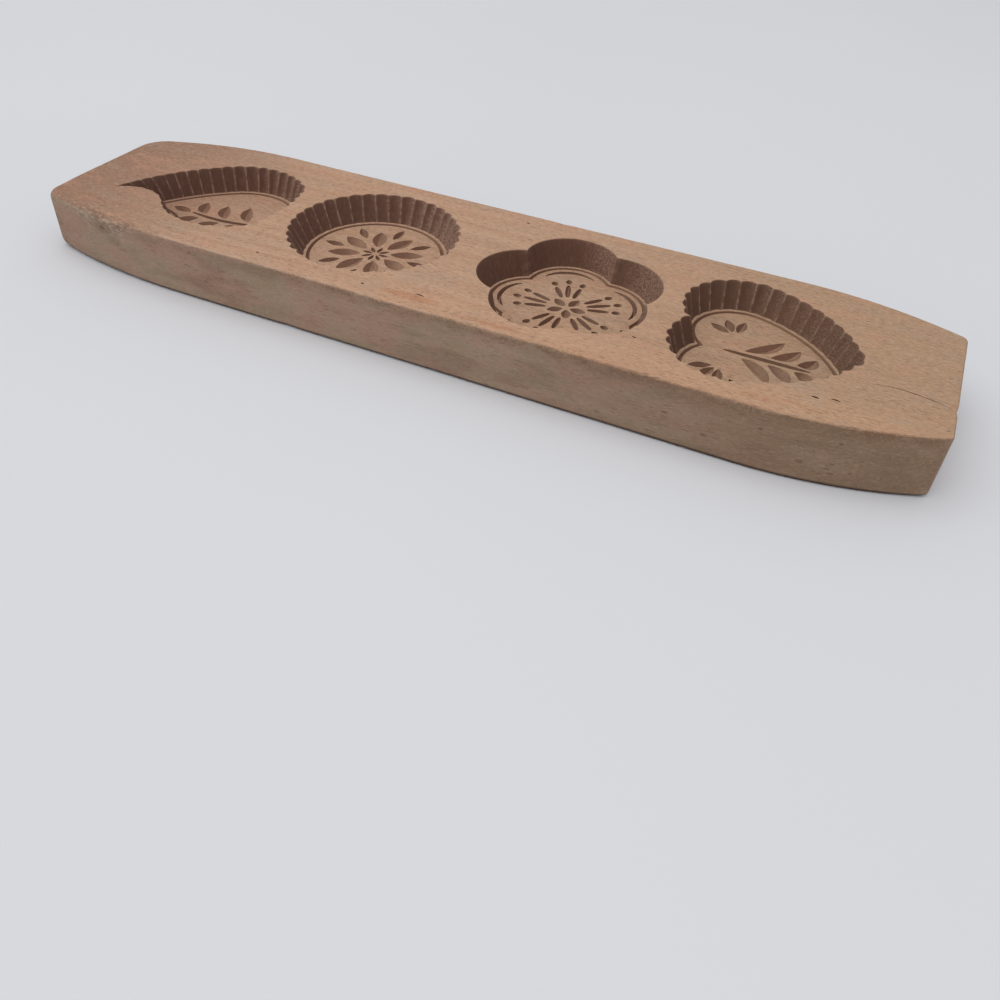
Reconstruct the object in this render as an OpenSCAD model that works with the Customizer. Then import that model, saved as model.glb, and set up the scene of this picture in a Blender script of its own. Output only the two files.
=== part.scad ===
// Carved bar mold for mooncakes: one plank with four drafted hollows in its upper face,
// each with a framing groove and a chip-carved ornament in its floor.
// The board lies on its back, length along X, and the hollows open upwards.

/* [Board] */
// Length of the plank
board_length = 381; // [360:1:460]
// Width of the plank between its parallel sides
board_width = 96; // [92:0.2:120]
// Thickness of the plank
board_thickness = 25.5; // [20:0.5:40]
// Rounding worn onto the long edges and the ends, top and bottom
edge_round = 1; // [0.5:0.1:4]

/* [Ends] */
// Length over which the left end narrows
left_taper = 72; // [30:1:90]
// Length over which the right end narrows
right_taper = 65; // [30:1:90]
// Half width of the left end face on the back side
left_back_half = 30.5; // [20:0.5:44]
// Half width of the left end face on the front side
left_front_half = 37; // [20:0.5:44]
// Half width of the right end face on the back side
right_back_half = 34.5; // [20:0.5:44]
// Half width of the right end face on the front side
right_front_half = 34.5; // [20:0.5:44]
// Radius of the two left corners, seen from above
left_corner = 9; // [3:0.5:15]
// Radius of the two right corners, seen from above
right_corner = 3.5; // [3:0.5:15]

/* [Fluted walls] */
// How far each gouge cut bulges beyond the line of the rim
flute_depth = 1.3; // [0.4:0.1:2]
// Share of the flute depth that is left at the foot of the wall
flute_fade = 0.35; // [0.1:0.05:1]

/* [Peach hollow] */
// Place of the peach's round body along the board
peach_x = -117.6; // [-121:0.1:-116]
// Place of the peach's round body across the board
peach_y = -0.6; // [-3:0.1:3]
// Radius of the round body at the rim
peach_radius = 30.7; // [26:0.1:32]
// Reach of the tip from the middle of the body
peach_tip_reach = 52.5; // [46:0.1:56]
// Direction of the tip, turned from straight left towards the front
peach_tip_turn = 20.5; // [12:0.5:26]
// Radius of the full curve behind the tip
peach_back_radius = 90; // [80:1:200]
// Radius of the hollow curve in front of the tip
peach_front_radius = 19; // [16:0.5:26]
// Reach of the flatter stem side from the middle of the body
peach_stem_reach = 25.6; // [22:0.1:30]
// Radius of the stem side
peach_stem_radius = 76; // [50:1:120]
// Depth of the peach
peach_depth = 10.6; // [6:0.1:14]
// How far the foot of the wall lies inside the rim
peach_draw = 3.6; // [1.5:0.1:6]
// Width of one flute
peach_flute = 5.4; // [4:0.1:9]
// Share of the flute depth that is left at the tip
peach_tip_flute = 0.2; // [0.1:0.05:1]

/* [Round hollow] */
// Place of the round cake along the board
round_x = -46.1; // [-48:0.1:-44]
// Radius of the round at the rim
round_radius = 35.4; // [28:0.2:37]
// Depth of the round
round_depth = 11; // [6:0.1:14]
// How far the foot of the wall lies inside the rim
round_draw = 5; // [1.5:0.1:8]
// Width of one flute
round_flute = 6.2; // [4:0.1:9]

/* [Plum blossom hollow] */
// Place of the blossom along the board
plum_x = 43.4; // [41:0.1:45]
// Place of the blossom across the board
plum_y = -1.2; // [-3:0.1:3]
// Distance from the middle of the blossom to the middle of a petal
plum_petal_offset = 18.2; // [15:0.1:20]
// Radius of a petal at the rim
plum_petal_radius = 20; // [17:0.1:21]
// Number of petals
plum_petals = 5; // [4:1:7]
// Depth of the blossom
plum_depth = 11; // [6:0.1:14]
// How far the foot of the wall lies inside the rim
plum_draw = 4.6; // [1.5:0.1:6]

/* [Heart hollow] */
// Place of the middle of the two cheeks along the board
heart_x = 110.7; // [109:0.1:114]
// Place of the heart's axis across the board
heart_y = -0.2; // [-3:0.1:3]
// Distance of each cheek's middle from the heart's axis
heart_cheek_offset = 14.6; // [11:0.1:16]
// Radius of a cheek at the rim
heart_cheek_radius = 22.2; // [20:0.1:24]
// Distance from the middle of the cheeks to the point
heart_point_reach = 46.2; // [40:0.1:50]
// Direction on a cheek, from the heart's axis, where the flatter side begins
heart_side_start = 75; // [55:1:80]
// Depth of the heart
heart_depth = 11; // [6:0.1:14]
// How far the foot of the wall lies inside the rim
heart_draw = 4.2; // [1.5:0.1:6]
// Width of one flute
heart_flute = 6.3; // [4:0.1:9]

/* [Foot of the walls] */
// Width of the level ledge at the foot of each wall
foot_ledge = 0.9; // [0.4:0.1:1.5]
// Width of the groove that frames each floor, just inside the ledge
foot_groove = 1.5; // [0.8:0.1:2.5]
// Depth of that groove below the floor
groove_depth = 1.2; // [0.5:0.1:2]

/* [Carved ornaments] */
// Depth of a chip below the floor, where it is deepest
chip_depth = 1.8; // [0.8:0.1:2.5]

/* [Rosette on the floor of the round] */
// Number of petals, with one dart between each two
rosette_petals = 8; // [5:1:8]
// Where the petals begin, as a share of the floor's radius
rosette_petal_start = 0.23; // [0.18:0.01:0.35]
// Where the petals end, as a share of the floor's radius
rosette_petal_end = 0.73; // [0.6:0.01:0.8]
// Half width of a petal
rosette_petal_half = 2.9; // [1:0.1:3]
// Where the darts begin, as a share of the floor's radius
rosette_dart_start = 0.55; // [0.5:0.01:0.65]
// Where the darts end, as a share of the floor's radius
rosette_dart_end = 0.89; // [0.75:0.01:0.92]
// Half width of a dart
rosette_dart_half = 1.7; // [0.8:0.1:1.8]

/* [Stamens on the floor of the blossom] */
// Angle from a petal's middle stamen to the two beside it
stamen_spread = 17; // [12:1:18]
// Where the stamens begin, as a share of the floor's reach along a petal
stamen_start = 0.27; // [0.25:0.01:0.35]
// Where the middle stamens end, as a share of the floor's reach along a petal
stamen_end = 0.59; // [0.5:0.01:0.62]
// Length of a side stamen, as a share of the reach of the middle one
stamen_side_share = 0.92; // [0.8:0.01:1]
// Half width of a stamen
stamen_half = 1.05; // [0.5:0.05:1.1]
// Gap between a stamen and the knob at its end
knob_gap = 1.1; // [0.5:0.1:2]
// Length of a knob
knob_length = 3.5; // [2:0.1:4]
// Half width of a knob
knob_half = 1.25; // [0.6:0.05:1.4]
// Radius of the arc round each petal's stamens, as a share of the petal's radius on the floor
petal_arc_radius = 0.8; // [0.6:0.01:0.85]
// Half the angle that the arc spans
petal_arc_turn = 62; // [40:1:65]
// Half width of the arc
petal_arc_half = 0.9; // [0.5:0.05:1]
// Where the rays of the star in the middle begin, as a share of the floor's reach along a petal
star_start = 0.05; // [0.04:0.01:0.1]
// Where the rays of the star end, as a share of the floor's reach along a petal
star_end = 0.26; // [0.15:0.01:0.28]
// Half width of a ray of the star
star_half = 1.8; // [0.8:0.1:1.9]

/* [Sprig on the floor of the peach] */
// Place of the stem's root along the board, as a share of the floor's radius
sprig_root_x = 0.65; // [0.5:0.01:0.7]
// Place of the stem's root across the board, as a share of the floor's radius
sprig_root_y = -0.08; // [-0.2:0.01:0.2]
// Place of the stem's tip along the board, as a share of the floor's radius
sprig_tip_x = -0.81; // [-0.85:0.01:-0.6]
// Place of the stem's tip across the board, as a share of the floor's radius
sprig_tip_y = -0.24; // [-0.3:0.01:0.2]
// How far the stem bows towards the front
sprig_bow = 2.5; // [0:0.1:4]
// Half width of the stem
sprig_half = 1; // [0.5:0.1:1.2]
// Length of the leaves next to the root
sprig_leaf_length = 14; // [8:0.1:14.5]
// Part of the first leaves' length by which each next pair is shorter
sprig_leaf_shrink = 0.1; // [0:0.01:0.2]
// Angle between the leaves and the length of the board
sprig_leaf_turn = 58; // [45:1:70]
// Gap between the stem and its leaves
sprig_leaf_gap = 3; // [2.5:0.1:4]
// How far a leaf bows
sprig_leaf_bow = 1.4; // [0:0.1:2]
// Half width of a leaf
sprig_leaf_half = 2.6; // [1:0.1:2.8]
// Gap between the stem and its bud
bud_gap = 1.4; // [1:0.1:2]
// Length of the bud
bud_length = 9.6; // [5:0.1:10]
// Half width of the bud
bud_half = 2.2; // [1:0.1:2.5]

/* [Leaves on the floor of the heart] */
// Where the middle rib begins, as a share of the reach of the heart's point
rib_start = -0.065; // [-0.08:0.005:0.1]
// Where the middle rib ends, as a share of the reach of the heart's point
rib_end = 0.65; // [0.5:0.01:0.68]
// Half width of the rib
rib_half = 1.1; // [0.5:0.1:1.3]
// Length of the first leaves, as a share of the reach of the heart's point
rib_leaf_length = 0.39; // [0.2:0.01:0.4]
// Part of the first leaves' length by which each next pair is shorter
rib_leaf_shrink = 0.25; // [0.2:0.01:0.3]
// Angle between the rib and its leaves
rib_leaf_turn = 46; // [40:1:60]
// How far a leaf starts beyond its place on the rib
rib_leaf_along = 1.2; // [0:0.1:2]
// Gap between the rib's middle and its leaves
rib_leaf_gap = 2.8; // [2.5:0.1:4]
// How far a leaf bows
rib_leaf_bow = 1.8; // [0:0.1:2]
// Half width of a leaf
rib_leaf_half = 2.6; // [1:0.1:2.8]
// Root of the fan in each cheek, along the board
fan_root_x = -1.5; // [-3:0.1:0]
// Root of the fan, as a share of the cheek's offset
fan_root_share = 0.79; // [0.7:0.01:1]
// Direction of the fan's middle dart, from the heart's point
fan_middle = 118; // [100:1:130]
// Angle between two darts of the fan
fan_spread = 36; // [34:1:45]
// Where the darts of the fan begin, as a share of the cheek's radius
fan_start = 0.135; // [0.13:0.005:0.2]
// Where the darts of the fan end, as a share of the cheek's radius
fan_end = 0.54; // [0.4:0.01:0.55]
// Half width of a dart of the fan
fan_half = 1.8; // [0.8:0.1:1.9]

/* [Hidden] */
// Height by which a cutter stands above the face that it opens
cut_clearance = 1;
// Height by which the cutters of grooves and chips stand above the floor
chip_clearance = 0.3;
// Where the facets of a floor meet, set off the axes of its ornament
facet_middle = [-0.6, 0.35];
// Straight steps along a chip
chip_steps = 4;
// Straight steps along a petal's arc
arc_steps = 8;
// Shares of the sprig's stem and of the rib at which their pairs of leaves start
leaf_starts = [0.2, 0.5, 0.8];
// Straight steps in each arc of the board's outline
outline_steps = 8;
// Rings in each worn edge
edge_steps = 3;
// Straight steps across one flute
flute_steps = 6;
// Straight steps of the foot groove under one flute
groove_steps = 2;
// Straight steps round one smooth petal
petal_steps = 16;

// Unit vector in a direction on the board's face
function heading(angle) = [cos(angle), sin(angle)];

// Direction of a vector on the board's face, within one full turn
function direction(vector) = (atan2(vector[1], vector[0]) + 360) % 360;

// Angle between two sides of a triangle, from the lengths of its three sides
function angle_between(side_a, side_b, opposite) =
    acos((side_a * side_a + side_b * side_b - opposite * opposite) / (2 * side_a * side_b));

// Where two circles cross, on the right hand of the way from the first center to the second
function crossing(center_a, radius_a, center_b, radius_b) =
    let (way = center_b - center_a)
    center_a + radius_a * heading(direction(way) - angle_between(radius_a, norm(way), radius_b));

// A hollow's outline is a chain of arcs round its middle, drawn in by an inset. Each arc is
// [center, radius, first, last]: the directions face out of the hollow, and a hollow curve has a negative radius.
// Two more values, where they are given, are the shares of the flute depth at the arc's two ends.

// The round is one full arc
round_chain = function(inset) [[[0, 0], round_radius - inset, 0, 360]];

// The blossom is a ring of equal petals, the first one pointing left
plum_chain = function(inset)
    let (radius = plum_petal_radius - inset,
         half_turn = 180 / plum_petals,
         half_arc = half_turn + asin(plum_petal_offset * sin(half_turn) / radius))
    [for (i = [0 : plum_petals - 1])
        let (petal = 180 + 360 * i / plum_petals)
        [plum_petal_offset * heading(petal), radius, petal - half_arc, petal + half_arc]];

// Each petal is one smooth arc, without flutes
plum_counts = [for (i = [1 : plum_petals]) 1];

// The peach's body is round with a flatter stem side, and its tip lies between a full curve and a hollow one
peach_tip_angle = 180 + peach_tip_turn;
peach_stem_center = [peach_stem_reach - peach_stem_radius, 0];
peach_back_reach = peach_back_radius - peach_radius;
peach_back_angle = peach_tip_angle - 180 + angle_between(peach_back_reach, peach_tip_reach, peach_back_radius);
peach_back_center = -peach_back_reach * heading(peach_back_angle);
peach_front_reach = peach_front_radius + peach_radius;
peach_front_angle = peach_tip_angle + angle_between(peach_front_reach, peach_tip_reach, peach_front_radius);
peach_front_center = peach_front_reach * heading(peach_front_angle);
peach_chain = function(inset)
    let (body = peach_radius - inset,
         stem = peach_stem_radius - inset,
         shoulder = crossing([0, 0], body, peach_stem_center, stem),
         back = peach_back_radius - inset,
         front = peach_front_radius + inset,
         tip = crossing(peach_back_center, back, peach_front_center, front),
         stem_side = direction(shoulder - peach_stem_center),
         body_side = direction(shoulder))
    [[peach_stem_center, stem, -stem_side, stem_side],
     [[0, 0], body, body_side, peach_back_angle],
     [peach_back_center, back, peach_back_angle, direction(tip - peach_back_center), 1, peach_tip_flute],
     [peach_front_center, -front, direction(peach_front_center - tip), peach_front_angle, peach_tip_flute, 1],
     [[0, 0], body, peach_front_angle, 360 - body_side]];

// The heart has two round cheeks and two flatter sides, which touch the cheeks and meet in the point
heart_cheek = [0, heart_cheek_offset];
heart_side_line = heading(heart_side_start);
heart_to_point = [heart_point_reach, 0] - heart_cheek;
heart_side_extra = (heart_to_point * heart_to_point - heart_cheek_radius * heart_cheek_radius)
    / (2 * (heart_cheek_radius - heart_to_point * heart_side_line));
heart_side = heart_cheek - heart_side_extra * heart_side_line;
heart_chain = function(inset)
    let (cheek = heart_cheek_radius - inset,
         side = cheek + heart_side_extra,
         point = asin(-heart_side[1] / side),
         cleft = 180 + asin(heart_cheek_offset / cheek))
    [[heart_side, side, point, heart_side_start],
     [heart_cheek, cheek, heart_side_start, cleft],
     [-heart_cheek, cheek, 360 - cleft, 360 - heart_side_start],
     [[heart_side[0], -heart_side[1]], side, 360 - heart_side_start, 360 - point]];

// Number of flutes of about the given width along each arc of a rim
function flute_counts(chain, width) =
    [for (arc = chain(0)) max(1, round(abs(arc[1] * (arc[3] - arc[2])) * PI / 180 / width))];

// One ring of a hollow's wall: its chain of arcs drawn in by an inset, with one gouge cut to each flute
function wall_ring(chain, counts, steps, inset, bulge, height) =
    let (arcs = chain(inset))
    [for (i = [0 : len(arcs) - 1])
        for (k = [0 : counts[i] * steps - 1])
            let (arc = arcs[i],
                 way = k / (counts[i] * steps),
                 turn = arc[2] + (arc[3] - arc[2]) * way,
                 share = len(arc) > 4 ? arc[4] + (arc[5] - arc[4]) * way : 1,
                 point = arc[0] + (arc[1] + bulge * share * abs(sin(180 * k / steps))) * heading(turn))
            [point[0], point[1], height]];

// A point of a floor at a height
function lifted(point, height) = [point[0], point[1], height];

// Cutter for one hollow: a loft with one straight draft, from the foot of the wall to just above the rim
module hollow(chain, depth, draw, counts, steps, bulge) {
    foot = wall_ring(chain, counts, steps, draw, bulge * flute_fade, -depth);
    top = wall_ring(chain, counts, steps, -draw * cut_clearance / depth, bulge, cut_clearance);
    count = len(foot);
    middle = 2 * count;
    walls = [for (i = [0 : count - 1])
        let (next = (i + 1) % count)
        each [[i, next, middle], [i, count + i, next], [next, count + i, count + next]]];
    polyhedron(concat(foot, top, [lifted(facet_middle, -depth)]), concat(
        [[for (i = [count - 1 : -1 : 0]) count + i]],
        walls));
}

// A hollow whose wall is fluted
module fluted_hollow(chain, depth, draw, width) {
    hollow(chain, depth, draw, flute_counts(chain, width), flute_steps, flute_depth);
}

// Cutter for the groove that frames a floor, just inside the ledge at the foot of the wall
module framing_groove(chain, depth, draw, counts, steps) {
    outer = draw + foot_ledge;
    lean = foot_groove / 2 / groove_depth * chip_clearance;
    bottom = wall_ring(chain, counts, steps, outer + foot_groove / 2, 0, -depth - groove_depth);
    outside = wall_ring(chain, counts, steps, outer - lean, 0, chip_clearance - depth);
    inside = wall_ring(chain, counts, steps, outer + foot_groove + lean, 0, chip_clearance - depth);
    count = len(bottom);
    polyhedron(concat(bottom, outside, inside), [
        for (ring = [0 : 2])
        for (i = [0 : count - 1])
            let (next = (i + 1) % count,
                 here = ring * count,
                 there = (ring + 1) % 3 * count)
            each [[here + i, there + i, here + next], [here + next, there + i, there + next]]]);
}

// A framing groove under a fluted wall
module fluted_framing_groove(chain, depth, draw, width) {
    framing_groove(chain, depth, draw, flute_counts(chain, width), groove_steps);
}

// Points along a line between two points of a floor, bowed to its left
function bowed(from, to, bow = 0) =
    let (way = to - from,
         aside = [-way[1], way[0]] / norm(way))
    [for (i = [0 : chip_steps])
        from + way * i / chip_steps + aside * bow * sin(180 * i / chip_steps)];

// Points along a ray from the middle of a floor
function ray(angle, start, end) = bowed(start * heading(angle), end * heading(angle));

// Cutter for one chip: a boat along a path on a floor, pointed at both ends and deepest in the middle.
// Its sides lean alike and face the same way, so each step of a flank is flat.
module chip(path, half) {
    last = len(path) - 1;
    count = last - 1;
    swells = [for (i = [1 : count]) pow(sin(180 * i / last), 0.75)];
    way = path[last] - path[0];
    aside = [-way[1], way[0]] / norm(way);
    sides = [for (swell = swells) half * (swell + chip_clearance / chip_depth) * aside];
    overrun = chip_clearance / (chip_depth * swells[0]);
    tips = [path[0] + overrun * (path[0] - path[1]), path[last] + overrun * (path[last] - path[last - 1])];
    points = concat(
        [for (tip = tips) lifted(tip, chip_clearance)],
        [for (i = [1 : count]) lifted(path[i] + sides[i - 1], chip_clearance)],
        [for (i = [1 : count]) lifted(path[i] - sides[i - 1], chip_clearance)],
        [for (i = [1 : count]) lifted(path[i], -chip_depth * swells[i - 1])]);
    left = 2;
    right = left + count;
    keel = right + count;
    end = count - 1;
    top = concat([0], [for (i = [0 : end]) left + i], [1], [for (i = [end : -1 : 0]) right + i]);
    flanks = [for (i = [0 : end - 1])
        each [[left + i, keel + i, keel + i + 1, left + i + 1],
              [right + i, right + i + 1, keel + i + 1, keel + i]]];
    ends = [[0, keel, left], [0, right, keel], [1, left + end, keel + end], [1, keel + end, right + end]];
    polyhedron(points, concat([top], flanks, ends));
}

// The round's rosette: pointed petals with darts between them
module rosette() {
    reach = round_radius - round_draw - foot_ledge - foot_groove;
    turn = 360 / rosette_petals;
    for (i = [0 : rosette_petals - 1]) {
        chip(ray(turn * (i + 0.5), rosette_petal_start * reach, rosette_petal_end * reach),
            rosette_petal_half);
        chip(ray(turn * i, rosette_dart_start * reach, rosette_dart_end * reach), rosette_dart_half);
    }
}

// The blossom's heart: three stamens with knobs and an arc in each petal, and a star in the middle
module stamens() {
    petal_floor = plum_petal_radius - plum_draw - foot_ledge - foot_groove;
    reach = plum_petal_offset + petal_floor;
    for (i = [0 : plum_petals - 1]) {
        petal = 180 + 360 * i / plum_petals;
        for (side = [-1 : 1]) {
            angle = petal + side * stamen_spread;
            end = stamen_end * reach * (side == 0 ? 1 : stamen_side_share);
            chip(ray(angle, stamen_start * reach, end), stamen_half);
            chip(ray(angle, end + knob_gap, end + knob_gap + knob_length), knob_half);
        }
        chip([for (k = [0 : arc_steps])
            plum_petal_offset * heading(petal) + petal_arc_radius * petal_floor
                * heading(petal + petal_arc_turn * (2 * k / arc_steps - 1))], petal_arc_half);
        chip(ray(petal + 180 / plum_petals, star_start * reach, star_end * reach), star_half);
    }
}

// The peach's sprig: a bowed stem with pairs of leaves and a bud
module sprig() {
    reach = peach_radius - peach_draw - foot_ledge - foot_groove;
    root = reach * [sprig_root_x, sprig_root_y];
    tip = reach * [sprig_tip_x, sprig_tip_y];
    way = (tip - root) / norm(tip - root);
    aside = [-way[1], way[0]];
    chip(bowed(root, tip, sprig_bow), sprig_half);
    for (i = [0 : len(leaf_starts) - 1]) {
        share = leaf_starts[i];
        joint = root + (tip - root) * share + aside * sprig_bow * sin(180 * share);
        for (side = [-1, 1]) {
            line = heading(180 - side * sprig_leaf_turn);
            start = joint + line * sprig_leaf_gap;
            length = sprig_leaf_length * (1 - sprig_leaf_shrink * i);
            chip(bowed(start, start + line * length, side * sprig_leaf_bow), sprig_leaf_half);
        }
    }
    chip(bowed(tip + way * bud_gap, tip + way * (bud_gap + bud_length)), bud_half);
}

// The heart's leaves: a middle rib with pairs of leaves, and a fan of darts in each cheek
module leaf_spray() {
    start = [rib_start * heart_point_reach, 0];
    end = [rib_end * heart_point_reach, 0];
    chip(bowed(start, end), rib_half);
    for (side = [-1, 1]) {
        line = heading(side * rib_leaf_turn);
        for (i = [0 : len(leaf_starts) - 1]) {
            root = start + (end - start) * leaf_starts[i] + [rib_leaf_along, side * rib_leaf_gap];
            length = rib_leaf_length * heart_point_reach * (1 - rib_leaf_shrink * i);
            chip(bowed(root, root + line * length, -side * rib_leaf_bow), rib_leaf_half);
        }
        fan_root = [fan_root_x, side * fan_root_share * heart_cheek_offset];
        for (k = [-1 : 1]) {
            dart = heart_cheek_radius * heading(side * (fan_middle + k * fan_spread));
            chip(bowed(fan_root + fan_start * dart, fan_root + fan_end * dart), fan_half);
        }
    }
}

// Points on an arc between two directions
function arc(center, radius, from, to) =
    [for (i = [0 : outline_steps]) center + radius * heading(from + (to - from) * i / outline_steps)];

// Outline of one tapered quarter of the plank, from its parallel side round to its end face
function tapered_quarter(taper, end_half, corner) =
    let (drop = board_width / 2 - end_half,
         taper_radius = (taper * taper + drop * drop) / (2 * drop),
         taper_center = [board_length / 2 - taper, board_width / 2 - taper_radius],
         across = taper - corner,
         up = sqrt(pow(taper_radius - corner, 2) - across * across),
         join = atan2(up, across))
    concat(arc(taper_center, taper_radius, 90, join),
           arc(taper_center + [across, up], corner, join, 0));

// A list of points turned over onto another quarter, and the same list in the other order
function placed(points, along, across) = [for (p = points) [along * p[0], across * p[1]]];
function backwards(points) = [for (i = [len(points) - 1 : -1 : 0]) points[i]];

// The plank seen from above
module plank_outline() {
    right_back = tapered_quarter(right_taper, right_back_half, right_corner);
    right_front = tapered_quarter(right_taper, right_front_half, right_corner);
    left_back = tapered_quarter(left_taper, left_back_half, left_corner);
    left_front = tapered_quarter(left_taper, left_front_half, left_corner);
    polygon(concat(
        right_back,
        backwards(placed(right_front, 1, -1)),
        placed(left_front, -1, -1),
        backwards(placed(left_back, -1, 1))));
}

// The plank with its edges worn round
module plank() {
    hull()
    for (i = [0 : edge_steps]) {
        turn = 90 * i / edge_steps;
        drawn_in = edge_round * (1 - sin(turn));
        from_face = edge_round * (1 - cos(turn));
        translate([0, 0, from_face])
        linear_extrude(board_thickness - 2 * from_face)
        offset(delta = -drawn_in)
        plank_outline();
    }
}

// The mold: the plank less the chips and the framing grooves, and less the four hollows that open onto them
module mold_board() {
    color("#b29278")
    difference() {
        plank();
        translate([peach_x, peach_y, board_thickness - peach_depth])
        sprig();
        translate([round_x, 0, board_thickness - round_depth])
        rosette();
        translate([plum_x, plum_y, board_thickness - plum_depth])
        stamens();
        translate([heart_x, heart_y, board_thickness - heart_depth])
        leaf_spray();
        translate([peach_x, peach_y, board_thickness])
        fluted_framing_groove(peach_chain, peach_depth, peach_draw, peach_flute);
        translate([round_x, 0, board_thickness])
        fluted_framing_groove(round_chain, round_depth, round_draw, round_flute);
        translate([plum_x, plum_y, board_thickness])
        framing_groove(plum_chain, plum_depth, plum_draw, plum_counts, petal_steps);
        translate([heart_x, heart_y, board_thickness])
        fluted_framing_groove(heart_chain, heart_depth, heart_draw, heart_flute);
        translate([peach_x, peach_y, board_thickness])
        fluted_hollow(peach_chain, peach_depth, peach_draw, peach_flute);
        translate([round_x, 0, board_thickness])
        fluted_hollow(round_chain, round_depth, round_draw, round_flute);
        translate([plum_x, plum_y, board_thickness])
        hollow(plum_chain, plum_depth, plum_draw, plum_counts, petal_steps, 0);
        translate([heart_x, heart_y, board_thickness])
        fluted_hollow(heart_chain, heart_depth, heart_draw, heart_flute);
    }
}

mold_board();
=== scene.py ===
import math
import random

import bmesh
import bpy
from mathutils import Matrix, Vector, noise


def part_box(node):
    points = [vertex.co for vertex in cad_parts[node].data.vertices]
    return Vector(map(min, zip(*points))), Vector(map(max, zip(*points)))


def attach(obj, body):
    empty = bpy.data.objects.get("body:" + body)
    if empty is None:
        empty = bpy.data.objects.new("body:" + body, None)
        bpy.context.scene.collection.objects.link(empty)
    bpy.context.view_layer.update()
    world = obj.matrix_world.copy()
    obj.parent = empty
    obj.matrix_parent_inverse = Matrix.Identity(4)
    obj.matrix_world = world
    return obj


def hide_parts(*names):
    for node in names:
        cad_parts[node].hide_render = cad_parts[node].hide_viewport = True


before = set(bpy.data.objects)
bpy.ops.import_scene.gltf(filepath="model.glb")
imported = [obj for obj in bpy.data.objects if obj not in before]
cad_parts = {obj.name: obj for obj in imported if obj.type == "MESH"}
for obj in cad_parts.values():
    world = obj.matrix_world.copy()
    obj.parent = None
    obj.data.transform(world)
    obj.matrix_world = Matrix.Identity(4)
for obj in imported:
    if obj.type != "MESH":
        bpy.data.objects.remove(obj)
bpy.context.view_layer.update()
lowCorner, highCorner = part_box("mold_board")
mm = 0.001    # sizes below are in millimetres, apart from the studio's
tiny = 1e-6
boardSize = (highCorner - lowCorner) / mm
print("frame loaded, board in mm:", [round(side, 1) for side in boardSize])


# selecting and shaping

def deselectAll():
    if bpy.context.mode != "OBJECT":
        bpy.ops.object.mode_set(mode="OBJECT")
    bpy.ops.object.select_all(action="DESELECT")


def makeActive(piece):
    deselectAll()
    piece.select_set(True)
    bpy.context.view_layer.objects.active = piece


def selectFaces(piece, wanted):
    bpy.ops.mesh.select_mode(type="FACE")
    bpy.ops.mesh.select_all(action="DESELECT")
    shape = bmesh.from_edit_mesh(piece.data)
    for face in shape.faces:
        if wanted(face):
            face.select_set(True)
    bmesh.update_edit_mesh(piece.data)


def placeRing(piece, ring, worn):
    # puts the corners of the selected face on a ring of points, and keeps how worn each point is
    shape = bmesh.from_edit_mesh(piece.data)
    layer = shape.verts.layers.float.get("worn") or shape.verts.layers.float.new("worn")
    cap = next(face for face in shape.faces if face.select)
    for corner, point, share in zip(cap.verts, ring, worn):
        corner.co = Vector(point) * mm
        corner[layer] = share
    bmesh.update_edit_mesh(piece.data)


def loftRings(name, rings):
    # a closed solid through rings of equal count: a filled circle, extruded from ring to ring
    deselectAll()
    bpy.ops.mesh.primitive_circle_add(vertices=len(rings[0][0]), radius=1, fill_type="NGON")
    piece = bpy.context.active_object
    piece.name = name
    bpy.ops.object.mode_set(mode="EDIT")
    bpy.ops.mesh.select_mode(type="FACE")
    bpy.ops.mesh.select_all(action="SELECT")
    placeRing(piece, *rings[0])
    for ring, worn in rings[1:]:
        bpy.ops.mesh.extrude_region_move()
        placeRing(piece, ring, worn)
    bpy.ops.mesh.select_all(action="SELECT")
    bpy.ops.mesh.normals_make_consistent(inside=False)
    bpy.ops.object.mode_set(mode="OBJECT")
    return piece


def joinAll(pieces, name):
    makeActive(pieces[0])
    for piece in pieces[1:]:
        piece.select_set(True)
    bpy.ops.object.join()
    pieces[0].name = name
    return pieces[0]


def cutAway(piece, cutter):
    makeActive(piece)
    carve = piece.modifiers.new("carve", "BOOLEAN")
    carve.operation = "DIFFERENCE"
    carve.solver = "EXACT"
    carve.object = cutter
    bpy.ops.object.modifier_apply(modifier=carve.name)
    bpy.data.objects.remove(cutter)


# tones are three shares: stain from the dough, wood rubbed bare, and cut, brown where its share is lower and
# nearly black where it is highest
tones = {
    "plank": (0, 0, 0), "lip": (0, 0.35, 0), "groove": (0.25, 0, 0.55), "floor": (0.12, 0.1, 0),
    "rimStain": 0.35, "stainReach": 2,    # a wall's stain at its rim, and how far down it is full
    "cutStain": 0.1,
    # where lip, wall and groove end: share of the lip's fall, height over the floor and depth under it
    "lipShare": 0.4, "wallFoot": 0.1, "grooveEdge": 0.08,
}


def paintTone(piece, toneOf):
    tone = piece.data.color_attributes.new("tone", "FLOAT_COLOR", "CORNER")
    for face in piece.data.polygons:
        for corner in face.loop_indices:
            vertex = piece.data.vertices[piece.data.loops[corner].vertex_index]
            tone.data[corner].color = (*toneOf(face, vertex), 1)


# plane geometry, angles in degrees

def heading(angle):
    return Vector((math.cos(math.radians(angle)), math.sin(math.radians(angle))))


def direction(way):
    return math.degrees(math.atan2(way.y, way.x)) % 360


def angleBetween(sideA, sideB, opposite):
    return math.degrees(math.acos((sideA ** 2 + sideB ** 2 - opposite ** 2) / (2 * sideA * sideB)))


def crossing(centreA, radiusA, centreB, radiusB):
    # where two circles cross, on the right hand of the way from the first to the second
    way = centreB - centreA
    return centreA + radiusA * heading(direction(way) - angleBetween(radiusA, way.length, radiusB))


def arcPoints(centre, radius, first, last, count):
    return [centre + radius * heading(first + (last - first) * i / count) for i in range(count + 1)]


# the plank

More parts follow.
